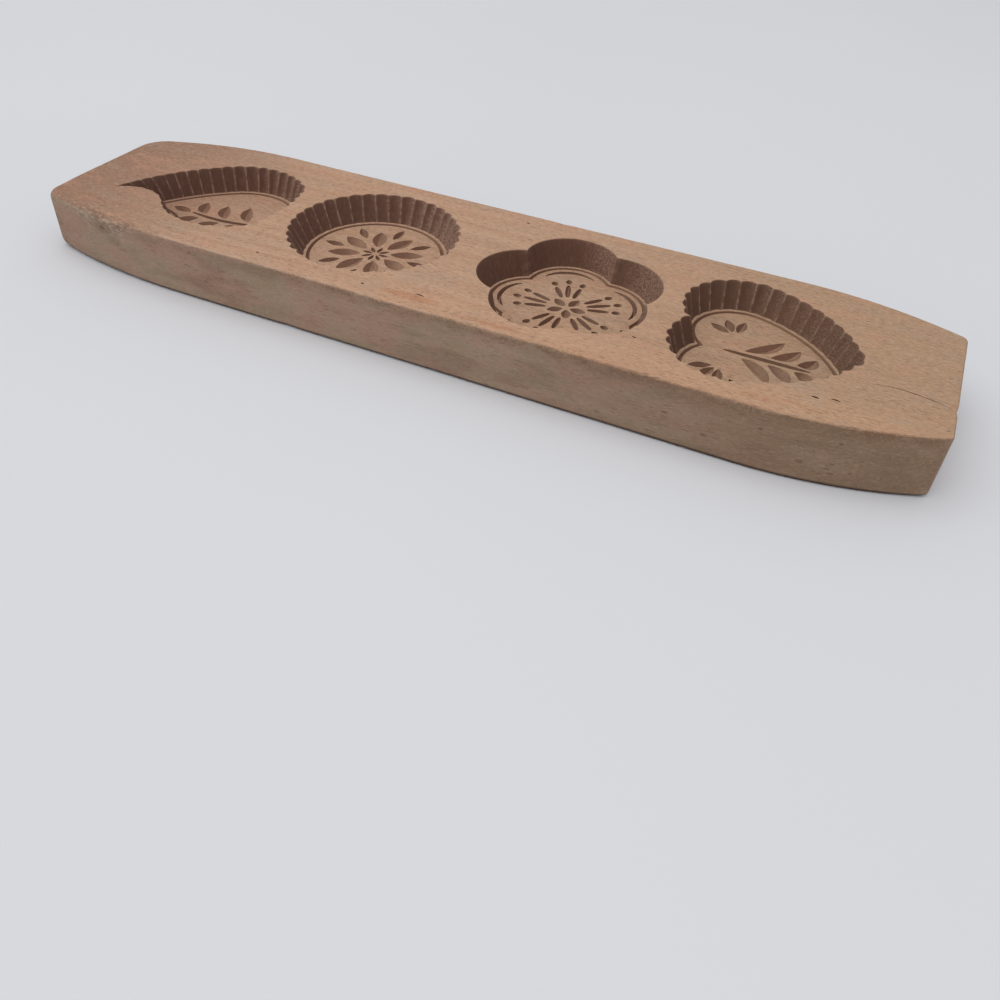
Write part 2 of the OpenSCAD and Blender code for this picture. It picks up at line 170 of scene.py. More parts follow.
plank = {
    "length": boardSize.x, "width": boardSize.y, "thickness": boardSize.z,
    "leftTaper": 72, "rightTaper": 65,
    "leftBackHalf": 30.5, "leftFrontHalf": 38, "rightBackHalf": 34.5, "rightFrontHalf": 34.5,
    "leftBackCorner": 14, "leftFrontCorner": 6.5, "rightCorner": 3.5,
    "taperSteps": 12, "cornerSteps": 12, "endSteps": 8, "sideSteps": 16,
    "edgeRound": 1, "edgeSegments": 4, "edgeMost": 5,
    # where hands and knocks have rounded the edge further: place, reach and extra rounding
    "handled": [((-187, -36, 25), 12, 1.6), ((-156, -45, 25), 26, 3), ((-189, 0, 25), 24, 0.6),
                ((-187, -36, 0), 10, 3), ((188, -34, 0), 5, 1.4), ((-20, -48, 25), 40, 0.4),
                ((-60, -48, 0), 130, 0.5)],
    "gridAlong": 4, "gridAcross": 6, "gridUp": 4.2,
    "edgeBand": 7, "flatNormal": 0.98,           # the strip beside the edges that is cut finer
    "wearDepth": 0.22, "wearReach": 2.6, "wearLength": 3.5, "wearLeast": 0.35, "wearSlant": 3.4,
    "fineShare": 0.6, "fineTimes": 2.7,          # a finer ripple in the wear
    "waveDepth": 0.08, "waveLength": 60,
    "levelGap": 0.01,                            # heights that differ by less are the same
    "smoothAngle": 34,
    # dents in the worn edge: place, reach and depth
    "dents": [((60, -47.5, 25), 1.8, 0.8), ((-12, -47.8, 25), 6, 0.35), ((4, -47.8, 25), 3, 0.3),
              ((-31, -47.8, 25), 4, 0.25), ((104, -47.6, 25), 4, 0.25), ((22, 47.8, 25), 3, 0.2),
              ((189.5, -16.5, 25), 2.2, 0.6), ((-60, -47.6, 1), 4, 0.2)],
}


def taperRadius(taper, endHalf):
    drop = plank["width"] / 2 - endHalf
    return (taper ** 2 + drop ** 2) / (2 * drop)


def taperedQuarter(taper, endHalf, corner):
    # from the middle of the parallel side, round the taper and the corner, to the end face
    bigRadius = taperRadius(taper, endHalf)
    bigCentre = Vector((plank["length"] / 2 - taper, plank["width"] / 2 - bigRadius))
    across = taper - corner
    up = math.sqrt((bigRadius - corner) ** 2 - across ** 2)
    join = math.degrees(math.atan2(up, across))
    straight = plank["length"] / 2 - taper
    flank = [Vector((straight * i / plank["sideSteps"], plank["width"] / 2))
             for i in range(1, plank["sideSteps"])]
    side = flank + arcPoints(bigCentre, bigRadius, 90, join, plank["taperSteps"])
    turn = arcPoints(bigCentre + Vector((across, up)), corner, join, 0, plank["cornerSteps"])
    end = [Vector((turn[-1].x, turn[-1].y * (1 - i / plank["endSteps"])))
           for i in range(1, plank["endSteps"])]
    return side + turn[1:] + end


def plankOutline():
    rightBack = taperedQuarter(plank["rightTaper"], plank["rightBackHalf"], plank["rightCorner"])
    rightFront = taperedQuarter(plank["rightTaper"], plank["rightFrontHalf"], plank["rightCorner"])
    leftBack = taperedQuarter(plank["leftTaper"], plank["leftBackHalf"], plank["leftBackCorner"])
    leftFront = taperedQuarter(plank["leftTaper"], plank["leftFrontHalf"], plank["leftFrontCorner"])
    outline = [(p.x, p.y) for p in rightBack]
    outline += [(p.x, -p.y) for p in reversed(rightFront)]
    outline += [(-p.x, -p.y) for p in leftFront]
    outline += [(-p.x, p.y) for p in reversed(leftBack)]
    return outline


def gridPlaces(size, step):
    count = int(size / step)
    return [size * ((i + 0.5) / count - 0.5) for i in range(count)]


def sliceAcross(centre, normal):
    bpy.ops.mesh.select_all(action="SELECT")
    bpy.ops.mesh.bisect(plane_co=Vector(centre) * mm, plane_no=normal, threshold=tiny)


def nearEdge(face):
    centre = face.calc_center_median() / mm
    steep = abs(face.normal.z) < plank["flatNormal"]
    up = min(centre.z, plank["thickness"] - centre.z)
    return steep and up < plank["edgeBand"]


def roundEdges(piece):
    # a bevel whose width follows how far each stretch of the rim has been handled
    weights = piece.data.attributes.new("bevel_weight_edge", "FLOAT", "EDGE")
    for edge in piece.data.edges:
        start, end = [piece.data.vertices[i].co / mm for i in edge.vertices]
        if abs(start.z - end.z) < plank["levelGap"]:
            middle = (start + end) / 2
            radius = plank["edgeRound"]
            for centre, reach, extra in plank["handled"]:
                radius += extra * math.exp(-((middle - Vector(centre)).length / reach) ** 2)
            weights.data[edge.index].value = radius / plank["edgeMost"]
    makeActive(piece)
    worn = piece.modifiers.new("worn", "BEVEL")
    worn.limit_method = "WEIGHT"
    worn.width = plank["edgeMost"] * mm
    worn.segments = plank["edgeSegments"]
    worn.use_clamp_overlap = False
    bpy.ops.object.modifier_apply(modifier=worn.name)
    piece.data.attributes.remove(piece.data.attributes["bevel_weight_edge"])


def makePlank():
    outline = [(x, y, 0) for x, y in plankOutline()]
    top = [(x, y, plank["thickness"]) for x, y, z in outline]
    still = [0] * len(outline)
    piece = loftRings("carvedBoard", [(outline, still), (top, still)])
    roundEdges(piece)
    makeActive(piece)
    bpy.ops.object.mode_set(mode="EDIT")
    for along in gridPlaces(plank["length"], plank["gridAlong"]):
        sliceAcross((along, 0, 0), (1, 0, 0))
    for across in gridPlaces(plank["width"], plank["gridAcross"]):
        sliceAcross((0, across, 0), (0, 1, 0))
    for up in gridPlaces(plank["thickness"], plank["gridUp"]):
        sliceAcross((0, 0, plank["thickness"] / 2 + up), (0, 0, 1))
    selectFaces(piece, nearEdge)
    bpy.ops.mesh.subdivide(number_cuts=1)
    bpy.ops.object.mode_set(mode="OBJECT")
    return piece


def edgeNearness(point, normal):
    # 1 on a worn edge, where the normal points between two faces, and 0 on the flats
    slant = 1 - max(abs(normal.z), math.hypot(normal.x, normal.y))
    up = min(point.z, plank["thickness"] - point.z)
    return min(1, slant * plank["wearSlant"]) * math.exp(-(up / plank["wearReach"]) ** 2)


def wearPlank(piece):
    # hands and years of knocking: edges draw in unevenly, faces wave a little, nothing moves outwards
    moves = []
    for vertex in piece.data.vertices:
        point = vertex.co / mm
        if point.z < plank["levelGap"]:
            moves.append(Vector())
            continue
        ripple = noise.noise(point / plank["wearLength"])
        ripple += plank["fineShare"] * noise.noise(point / plank["wearLength"] * plank["fineTimes"])
        worn = edgeNearness(point, vertex.normal) * max(0, plank["wearLeast"] + ripple) * plank["wearDepth"]
        wave = (0.5 + 0.5 * noise.noise(point / plank["waveLength"])) * plank["waveDepth"]
        dent = 0
        for centre, reach, depth in plank["dents"]:
            dent += depth * math.exp(-((point - Vector(centre)).length / reach) ** 2)
        moves.append(-vertex.normal * (worn + wave + dent) * mm)
    for vertex, move in zip(piece.data.vertices, moves):
        vertex.co += move


# the four hollows: each outline is a chain of arcs (centre, radius, first, last, flute share at both ends)

walls = {
    "fluteDepth": 1.3, "fluteFade": 0.35,
    "fluteSteps": (0, 0.06, 0.16, 0.32, 0.5, 0.68, 0.84, 0.94),
    "petalSteps": 36,
    "ridgeStray": 0.07, "fluteStray": 0.16,        # how uneven the hand-cut flutes are
    "ridgeWidth": 0.08, "ridgeLeast": 0.3,         # share of a flute that is rubbed bare beside its ridge
    "shiftShare": 0.7, "shiftPowers": (1, 3),      # how a moved arc end spreads over the flutes before it
    "aboveFace": 1.5, "lipFlare": 2.2,             # the cutter stands over the face, wider than the lip
    "lip": 0.45, "lipFall": 0.7, "lipTurn": (0.3, 0.4),
    "wallSteps": 6,
    "footRise": 0.5, "footEase": (0.12, 0.05), "footEnd": (0.35, 0.25), "bareEnd": 0.05,
    "ledge": 0.9, "ledgeFall": 0.05,
    "groove": 1.5, "grooveDepth": 1.2, "grooveBed": ((1, 0.45), (0.93, 0.6)), "grooveLip": 0.1,
    "floorEase": 0.5,
}

peach = {
    "place": (-117.6, -0.6), "radius": 30.7, "tipReach": 52.5, "tipTurn": 20.5, "backRadius": 90,
    "frontRadius": 19, "stemReach": 25.6, "stemRadius": 76, "depth": 10.6, "draw": 3.6, "flute": 5.4,
    "tipFlute": 0.2, "curveFlute": 0.3, "seed": 3,
}

roundCake = {"place": (-46.1, 0.5), "radius": 35.4, "depth": 11, "draw": 5, "flute": 6.2, "seed": 5}

# gather is the share of the draw by which petals or cheeks move inwards; the rest makes them smaller
plum = {
    "place": (43.4, -1.2), "depth": 11, "draw": 4.6, "gather": 0.9, "seed": 7,
    # hand-cut petals, counterclockwise: direction, offset and radius
    "petals": [(181, 19, 19.2), (256.5, 16.9, 21), (323, 18, 20.4), (394.5, 17.5, 20.5),
               (468.5, 20.2, 19.2)],
}

heart = {
    "place": (110.7, -0.2), "cheekOffset": 13.5, "cheekRadius": 22.9, "frontShift": 1.8,
    "pointReach": 46.2, "sideStart": 75,
    "depth": 11, "draw": 4.2, "gather": 0.2, "flute": 6.3, "seed": 11,
}


def roundChain(inset):
    return [(Vector((0, 0)), roundCake["radius"] - inset, 0, 360, 1, 1)]


def drawnIn(size, inset):
    # down to the foot of the wall a hollow is drawn in, from there on it is framed: shift and shrinkage
    drawn = min(inset, size["draw"])
    return drawn * size["gather"], inset - drawn * size["gather"]


def plumPetals(inset):
    shift, shrink = drawnIn(plum, inset)
    return [((offset - shift) * heading(angle), radius - shrink) for angle, offset, radius in plum["petals"]]


def plumChain(inset):
    petals = plumPetals(inset)
    count = len(petals)
    cusps = [crossing(*petals[i], *petals[(i + 1) % count]) for i in range(count)]
    chain = []
    for i in range(count):
        centre, radius = petals[i]
        angle = plum["petals"][i][0]
        before = (direction(cusps[i - 1] - centre) - angle + 180) % 360 - 180
        after = (direction(cusps[i] - centre) - angle + 180) % 360 - 180
        chain.append((centre, radius, angle + before, angle + after, 0, 0))
    return chain


def peachChain(inset):
    middle = Vector((0, 0))
    tipAngle = 180 + peach["tipTurn"]
    stemCentre = Vector((peach["stemReach"] - peach["stemRadius"], 0))
    backReach = peach["backRadius"] - peach["radius"]
    backAngle = tipAngle - 180 + angleBetween(backReach, peach["tipReach"], peach["backRadius"])
    backCentre = -backReach * heading(backAngle)
    frontReach = peach["frontRadius"] + peach["radius"]
    frontAngle = tipAngle + angleBetween(frontReach, peach["tipReach"], peach["frontRadius"])
    frontCentre = frontReach * heading(frontAngle)
    body = peach["radius"] - inset
    stem = peach["stemRadius"] - inset
    back = peach["backRadius"] - inset
    front = peach["frontRadius"] + inset
    shoulder = crossing(middle, body, stemCentre, stem)
    tip = crossing(backCentre, back, frontCentre, front)
    stemSide = direction(shoulder - stemCentre)
    bodySide = direction(shoulder)
    share = peach["tipFlute"]
    return [(stemCentre, stem, -stemSide, stemSide, 1, 1),
            (middle, body, bodySide, backAngle, 1, 1),
            (backCentre, back, backAngle, direction(tip - backCentre), 1, share),
            (frontCentre, -front, direction(frontCentre - tip), frontAngle, share, peach["curveFlute"]),
            (middle, body, frontAngle, 360 - bodySide, peach["curveFlute"], 1)]


def heartChain(inset):
    shift, shrink = drawnIn(heart, inset)
    offset = heart["cheekOffset"] - shift
    start = heart["sideStart"]
    toPoint = Vector((heart["pointReach"], -heart["cheekOffset"]))
    sideLine = heading(start)
    extra = toPoint.length_squared - heart["cheekRadius"] ** 2
    extra /= 2 * (heart["cheekRadius"] - toPoint.dot(sideLine))
    sideCentre = Vector((0, offset)) - extra * sideLine
    cheek = heart["cheekRadius"] - shrink
    side = cheek + extra
    point = math.degrees(math.asin(-sideCentre.y / side))
    backCheek = Vector((0, offset))
    frontCheek = Vector((heart["frontShift"], -offset))
    cleft = crossing(backCheek, cheek, frontCheek, cheek)
    return [(sideCentre, side, point, start, 1, 1),
            (backCheek, cheek, start, direction(cleft - backCheek), 1, 1),
            (frontCheek, cheek, direction(cleft - frontCheek), 360 - start, 1, 1),
            (Vector((sideCentre.x, -sideCentre.y)), side, 360 - start, 360 - point, 1, 1)]


def fluteCounts(chain, width):
    return [max(1, round(abs(radius * math.radians(last - first)) / width))
            for centre, radius, first, last, shareA, shareB in chain(0)]


def strayFlutes(counts, seed):
    # one list for each arc: how far each ridge strays at rim and foot, and how deep each flute is
    draw = random.Random(seed)
    stray = []
    for count in counts:
        ridges = [[draw.uniform(-1, 1) * walls["ridgeStray"] for end in range(2)] for i in range(count + 1)]
        ridges[0] = ridges[-1] = [0, 0]
        depths = [1 + draw.uniform(-1, 1) * walls["fluteStray"] for i in range(count)]
        stray.append((ridges, depths))
    return stray


def shifted(way, shift, span):
    # how far a flute moves along its arc so that the arc can end earlier, most of it near that end
    if abs(shift) < tiny:
        return 0
    least, most = walls["shiftPowers"]
    return shift * way ** min(most, max(least, walls["shiftShare"] * abs(span / shift)))


def wallRing(chain, counts, stray, steps, inset, bulge, height, down):
    # one ring of a wall, with a gouge cut to each flute; down is 0 at the rim and 1 at the foot
    ring = []
    worn = []
    for arc, rim, count, (ridges, depths) in zip(chain(inset), chain(0), counts, stray):
        centre, radius, first, last, shareA, shareB = arc
        span = rim[3] - rim[2]
        ridgeAt = [i + ridges[i][0] * (1 - down) + ridges[i][1] * down for i in range(count + 1)]
        for i in range(count):
            for step in steps:
                way = (ridgeAt[i] + (ridgeAt[i + 1] - ridgeAt[i]) * step) / count
                share = shareA + (shareB - shareA) * way
                gouge = bulge * share * depths[i] * math.sin(math.pi * step)
                turn = rim[2] + span * way
                turn += shifted(1 - way, first - rim[2], span) + shifted(way, last - rim[3], span)
                point = centre + (radius + gouge) * heading(turn)
                ring.append((point.x, point.y, height))
                ridge = max(0, 1 - min(step, 1 - step) / walls["ridgeWidth"])
                worn.append(ridge * min(1, share + walls["ridgeLeast"]))
    return ring, worn


def hollowProfile(size):
    # height, inset and flute share of each ring, from above the face over the eased lip, down the drafted
    # wall, and across ledge and groove to the floor
    depth = size["depth"]
    foot = size["draw"]
    slope = foot / depth
    lip = walls["lip"]
    fall = walls["lipFall"]
    turnDown, turnOut = walls["lipTurn"]
    profile = [(walls["aboveFace"], -lip * walls["lipFlare"], 1), (0, -lip, 1),
               (-fall * turnDown, slope * fall * turnDown - lip * turnOut, 1)]
    for i in range(walls["wallSteps"] + 1):
        down = fall + (depth - walls["footRise"] - fall) * i / walls["wallSteps"]
        profile.append((-down, slope * down, 1 - (1 - walls["fluteFade"]) * down / depth))
    easeUp, easeIn = walls["footEase"]
    endIn, endShare = walls["footEnd"]
    ledgeEnd = foot + walls["ledge"]
    grooveEnd = ledgeEnd + walls["groove"]
    profile += [(-depth + easeUp, foot + easeIn, walls["fluteFade"]), (-depth, foot + endIn, endShare),
                (-depth - walls["ledgeFall"], ledgeEnd, 0)]
    for deep, across in walls["grooveBed"]:
        profile.append((-depth - walls["grooveDepth"] * deep, ledgeEnd + walls["groove"] * across, 0))
    profile += [(-depth - walls["grooveLip"], grooveEnd, 0), (-depth, grooveEnd + walls["floorEase"], 0)]
    return profile


def hollowTone(piece, depth):
    # tells lip, stained wall, groove and floor apart by height
    worn = piece.data.attributes["worn"]

    def toneOf(face, vertex):
        height = vertex.co.z / mm
        middle = face.center.z / mm
        if middle > -walls["lipFall"] * tones["lipShare"]:
            return tones["lip"]
        if middle > -depth + tones["wallFoot"]:
            stain = tones["rimStain"] + (1 - tones["rimStain"]) * -height / tones["stainReach"]
            return min(1, stain), worn.data[vertex.index].value, 0
        if middle < -depth - tones["grooveEdge"]:
            return tones["groove"]
        return tones["floor"]

    return toneOf


def makeHollow(name, size, chain, counts, steps, bulge):
    depth = size["depth"]
    stray = strayFlutes(counts, size["seed"])
    rings = []
    for height, inset, share in hollowProfile(size):
        down = min(1, max(0, -height / depth))
        ring, worn = wallRing(chain, counts, stray, steps, inset, bulge * share, height, down)
        onWall = 0 > height > -depth + walls["bareEnd"]
        rings.append((ring, [value if onWall else 0 for value in worn]))
    piece = loftRings(name, rings)
    paintTone(piece, hollowTone(piece, depth))
    piece.data.attributes.remove(piece.data.attributes["worn"])
    makeActive(piece)
    bpy.ops.transform.translate(value=Vector((*size["place"], plank["thickness"])) * mm)
    bpy.ops.object.transform_apply(location=True)
    return piece


def flutedHollow(name, size, chain):
    counts = fluteCounts(chain, size["flute"])
    return makeHollow(name, size, chain, counts, walls["fluteSteps"], walls["fluteDepth"])


def makeHollows():
    petalSteps = [i / walls["petalSteps"] for i in range(walls["petalSteps"])]
    pieces = [flutedHollow("peachCut", peach, peachChain),
              flutedHollow("roundCut", roundCake, roundChain),
              makeHollow("plumCut", plum, plumChain, [1] * len(plum["petals"]), petalSteps, 0),
              flutedHollow("heartCut", heart, heartChain)]
    return joinAll(pieces, "hollowCuts")


# carved ornaments and small marks: each is a stroke, a sheet bent to a trench and extruded out of the wood

strokes = {
    "stand": 1.2, "tip": 0.03, "steps": 10, "rows": 3,
    "overWidth": 1.35, "overHeight": 0.35,    # the sheet's borders lie outside the cut and above the wood
    "taper": 0.75,                            # less makes blunter ends
}


def makeStroke(path, half, depth, flat, lay, dark, taper=strokes["taper"]):
    # path is a list of points, half the greatest half width, flat the share of the width that is floor
    steps = len(path) - 1
    rows = strokes["rows"]
    deselectAll()
    bpy.ops.mesh.primitive_grid_add(x_subdivisions=steps, y_subdivisions=rows, size=1)
    piece = bpy.context.active_object
    bpy.ops.object.mode_set(mode="EDIT")
    sheet = bmesh.from_edit_mesh(piece.data)
    for vertex in sheet.verts:
        column = round((vertex.co.x + 0.5) * steps)
        row = round((vertex.co.y + 0.5) * rows)
        before = path[max(0, column - 1)]
        after = path[min(steps, column + 1)]
        aside = Vector((before.y - after.y, after.x - before.x)).normalized()
        swell = max(strokes["tip"], math.sin(math.pi * column / steps)) ** taper
        width = half * swell
        outer = row in (0, rows)
        side = -1 if row < rows / 2 else 1
        deep = depth * swell * (-strokes["overHeight"] if outer else 1)
        spread = width * (strokes["overWidth"] if outer else flat)
        point = path[column] + aside * side * spread
        vertex.co = lay(point.x, point.y, deep) * mm
    bmesh.update_edit_mesh(piece.data)
    bpy.ops.mesh.select_all(action="SELECT")
    bpy.ops.mesh.extrude_region_move()
    top = lay(0, 0, -strokes["stand"]) * mm
    outwards = (top - lay(0, 0, 0) * mm).normalized()
    for vertex in bmesh.from_edit_mesh(piece.data).verts:
        if vertex.select:
            vertex.co += outwards * outwards.dot(top - vertex.co)
    bmesh.update_edit_mesh(piece.data)
    bpy.ops.mesh.select_all(action="SELECT")
    bpy.ops.mesh.normals_make_consistent(inside=False)
    bpy.ops.object.mode_set(mode="OBJECT")
    paintTone(piece, lambda face, vertex: (tones["cutStain"], 0, dark))
    return piece


def straightPath(start, end):
    return [start + (end - start) * i / strokes["steps"] for i in range(strokes["steps"] + 1)]


def bowedPath(start, end, bow):
    # a line that bows to its left by the given height
    way = end - start
    aside = Vector((-way.y, way.x)).normalized()
    return [point + aside * bow * math.sin(math.pi * i / strokes["steps"])
            for i, point in enumerate(straightPath(start, end))]


def floorOf(size):
    # lays a stroke on the floor of a hollow
    x, y = size["place"]
    level = plank["thickness"] - size["depth"]
    return lambda u, v, deep: Vector((x + u, y + v, level - deep))


def onFace(u, v, deep):
    return Vector((u, v, plank["thickness"] - deep))


ornament = {"dark": 0.5, "depth": 1.8, "flat": 0.35, "stemTaper": 0.3}


def chip(path, half, lay, taper=strokes["taper"]):
    return makeStroke(path, half, ornament["depth"], ornament["flat"], lay, ornament["dark"], taper)


def dart(root, ray, start, end, half, lay, taper=strokes["taper"]):
    return chip(straightPath(root + ray * start, root + ray * end), half, lay, taper)


# start, end and half width of each kind of cut
rosetteSet = {"petals": 8, "petal": (6.5, 20.5, 2.9), "dart": (15.5, 25, 1.7), "eye": (1.4, 6.2, 0.8)}


def rosette():
    # round cake: a ring of pointed petals with darts between them
    pieces = []
    middle = Vector((0, 0))
    lay = floorOf(roundCake)
    turn = 360 / rosetteSet["petals"]
    for i in range(rosetteSet["petals"]):
        for name, angle in (("petal", turn * (i + 0.5)), ("dart", turn * i), ("eye", turn * i)):
            pieces.append(dart(middle, heading(angle), *rosetteSet[name], lay))
    return pieces


# start, end and half width of each kind of cut; a bend has its gap, its turn and its half width
blossomSet = {"spread": 17, "stamen": (8.4, 18.5, 1.05), "knob": (1.1, 4.6, 1.25), "sideShare": 0.92,
              "bend": (2.9, 50, 0.9), "star": (1.6, 8.2, 1.8), "knobTaper": 0.5, "bendTaper": 0.4}


def blossom():
    # plum: three stamens in each petal, an arc round them and a small star in the middle
    pieces = []
    middle = Vector((0, 0))
    lay = floorOf(plum)
    start, reach, half = blossomSet["stamen"]
    knobStart, knobEnd, knobHalf = blossomSet["knob"]
    bendGap, bendTurn, bendHalf = blossomSet["bend"]
    floor = plumPetals(plum["draw"] + walls["ledge"] + walls["groove"])
    angles = [petal[0] for petal in plum["petals"]]
    for i, (centre, radius) in enumerate(floor):
        petal = angles[i]
        following = angles[i + 1] if i + 1 < len(angles) else angles[0] + 360
        for side in (-1, 0, 1):
            ray = heading(petal + side * blossomSet["spread"])
            end = reach * (blossomSet["sideShare"] if side else 1)
            pieces.append(dart(middle, ray, start, end, half, lay, ornament["stemTaper"]))
            pieces.append(dart(middle, ray, end + knobStart, end + knobEnd, knobHalf, lay,
                               blossomSet["knobTaper"]))
        bend = arcPoints(centre, radius - bendGap, petal - bendTurn, petal + bendTurn, strokes["steps"])
        pieces.append(chip(bend, bendHalf, lay, blossomSet["bendTaper"]))
        pieces.append(dart(middle, heading((petal + following) / 2), *blossomSet["star"], lay))
    return pieces


# leaves are given by their place along the stem and their length
sprigSet = {"root": (16, -2), "tip": (-20, -6), "bow": 2.5, "half": 1,
            "leaves": ((0.2, 14), (0.5, 12.6), (0.8, 11.2)), "leafTurn": 58, "leafGap": 3, "leafBow": 1.4,
            "leafHalf": 2.6, "bud": (1.4, 11, 2.2)}


def sprig():
    # peach: a bowed stem with pairs of leaves and a bud
    pieces = []
    lay = floorOf(peach)
    stem = bowedPath(Vector(sprigSet["root"]), Vector(sprigSet["tip"]), sprigSet["bow"])
    pieces.append(chip(stem, sprigSet["half"], lay, ornament["stemTaper"]))
    for share, length in sprigSet["leaves"]:
        root = stem[round(share * strokes["steps"])]
        for side in (1, -1):
            ray = heading(180 - side * sprigSet["leafTurn"])
            start = root + ray * sprigSet["leafGap"]
            leaf = bowedPath(start, start + ray * length, side * sprigSet["leafBow"])
            pieces.append(chip(leaf, sprigSet["leafHalf"], lay))
    ray = (stem[-1] - stem[-3]).normalized()
    pieces.append(dart(stem[-1], ray, *sprigSet["bud"], lay))
    return pieces


spraySet = {"rib": (-3, 30), "half": 1.1, "leaves": ((0.2, 18), (0.5, 13.5), (0.8, 9)), "leafTurn": 46,
            "leafGap": (1.2, 2.8), "leafBow": 1.8, "leafHalf": 2.6,
            "fanRoot": (-1.5, 11.5), "fanTurns": (82, 118, 154), "fan": (3, 12, 1.8)}


def leafSpray():
    # heart: a mid rib with paired leaves, and a fan of darts in each cheek
    pieces = []
    lay = floorOf(heart)
    start, end = spraySet["rib"]
    rib = straightPath(Vector((start, 0)), Vector((end, 0)))
    pieces.append(chip(rib, spraySet["half"], lay, ornament["stemTaper"]))
    gapAlong, gapAside = spraySet["leafGap"]
    fanAlong, fanAside = spraySet["fanRoot"]
    for side in (1, -1):
        for share, length in spraySet["leaves"]:
            ray = heading(side * spraySet["leafTurn"])
            root = rib[round(share * strokes["steps"])] + Vector((gapAlong, side * gapAside))
            leaf = bowedPath(root, root + ray * length, -side * spraySet["leafBow"])
            pieces.append(chip(leaf, spraySet["leafHalf"], lay))
        for turn in spraySet["fanTurns"]:
            root = Vector((fanAlong, side * fanAside))
            pieces.append(dart(root, heading(side * turn), *spraySet["fan"], lay))
    return pieces


marks = {
    # pits and short splits in the face: place, length, half width and depth
    "face": [((-76, -40), 1.7, 0.36, 0.4), ((-26.5, -41), 1.8, 0.4, 0.5), ((-3, -38), 4.6, 0.3, 0.4),
             ((8, 39.8), 1.8, 0.4, 0.5), ((79, -26.5), 1.8, 0.36, 0.5), ((-179, -42), 1.6, 0.5, 0.5),
             ((145.4, -32.6), 3.2, 0.42, 0.7), ((152, -31), 3.8, 0.34, 0.6)],
    "faceSlant": 0.1, "faceBow": 0.05, "faceFlat": 0.3, "faceDark": 0.85,
    # a drying check that runs in from the right end
    "check": [(163, -14.2), (170, -13.4), (176, -13.8), (182, -15.2), (188, -16.8)],
    "checkHalf": 0.16, "checkDepth": 0.8, "checkFlat": 0.2, "checkDark": 0.9, "checkTaper": 0.3,
}


def smallMarks():
    pieces = []
    for (u, v), length, half, depth in marks["face"]:
        start = Vector((u - length / 2, v))
        end = Vector((u + length / 2, v - marks["faceSlant"] * length))
        path = bowedPath(start, end, marks["faceBow"] * length)
        pieces.append(makeStroke(path, half, depth, marks["faceFlat"], onFace, marks["faceDark"]))
    check = [Vector(point) for point in marks["check"]]
    pieces.append(makeStroke(check, marks["checkHalf"], marks["checkDepth"], marks["checkFlat"], onFace,
                             marks["checkDark"], marks["checkTaper"]))
    return pieces


board = makePlank()
wearPlank(board)
paintTone(board, lambda face, vertex: tones["plank"])
board.data.attributes.remove(board.data.attributes["worn"])
print("plank shaped:", len(board.data.polygons), "faces")
cutAway(board, makeHollows())
print("hollows cut:", len(board.data.polygons), "faces")
cutAway(board, joinAll(rosette() + blossom() + sprig() + leafSpray() + smallMarks(), "fineCuts"))
print("ornaments cut:", len(board.data.polygons), "faces")


# materials

class Wire:
    # one socket of a node tree; sums on it add Math nodes
    def __init__(self, tree, socket=None):
        self.tree = tree
        self.socket = socket

    def node(self, kind, settings, sockets, out=0):
        made = self.tree.nodes.new("ShaderNode" + kind)
        for name, value in settings.items():
            setattr(made, name, value)
        for name, value in sockets.items():
            if isinstance(value, Wire):
                self.tree.links.new(value.socket, made.inputs[name])
            else:
                made.inputs[name].default_value = value
        return Wire(self.tree, made.outputs[out] if made.outputs else None)

    def sum(self, operation, first, second):
        return self.node("Math", {"operation": operation}, {0: first, 1: second})

    def __add__(self, other):
        return self.sum("ADD", self, other)

    def __sub__(self, other):
        return self.sum("SUBTRACT", self, other)

    def __rsub__(self, other):
        return self.sum("SUBTRACT", other, self)

    def __mul__(self, other):
        return self.sum("MULTIPLY", self, other)

    def __truediv__(self, other):
        return self.sum("DIVIDE", self, other)

    __radd__ = __add__
    __rmul__ = __mul__

    def __abs__(self):
        return self.sum("ABSOLUTE", self, 0)

    def atLeast(self, other):
        return self.sum("MAXIMUM", self, other)

    def amount(self, name):
        # goes smoothly from the share at the low value to the share at the high one
        low, high, atLow, atHigh = amounts[name]
        return self.node("MapRange", {"interpolation_type": "SMOOTHSTEP"},
                         {0: self, 1: low, 2: high, 3: atLow, 4: atHigh})

    def speckle(self, along, across, up, detail, rough):
        # noise on a place, with the size of its grains
        place = self.node("VectorMath", {"operation": "MULTIPLY"},
                          {0: self, 1: (1 / along, 1 / across, 1 / up)})
        return self.node("TexNoise", {}, {"Vector": place, "Scale": 1, "Detail": detail, "Roughness": rough})

    def mixed(self, first, second, share):
        return self.node("Mix", {"data_type": "RGBA"}, {0: share, 6: first, 7: second}, 2)

    def blend(self, other, share):
        return self.mixed(self, other, share)

    def coat(self, name, value):
        # a colour of the wood over this one, as much of it as its amount says
        return self.blend(wood[name], value.amount(name))

    def split(self):
        return [self.node("SeparateXYZ", {}, {0: self}, i) for i in range(3)]


def tint(red, green, blue):
    # screen colour from 0 to 255 to the linear value that a socket takes
    def linear(value):
        value /= 255
        return value / 12.92 if value <= 0.04045 else ((value + 0.055) / 1.055) ** 2.4
    return linear(red), linear(green), linear(blue), 1


def newMaterial(name):
    material = bpy.data.materials.new(name)
    material.use_nodes = True
    material.node_tree.nodes.clear()
    return material, Wire(material.node_tree)


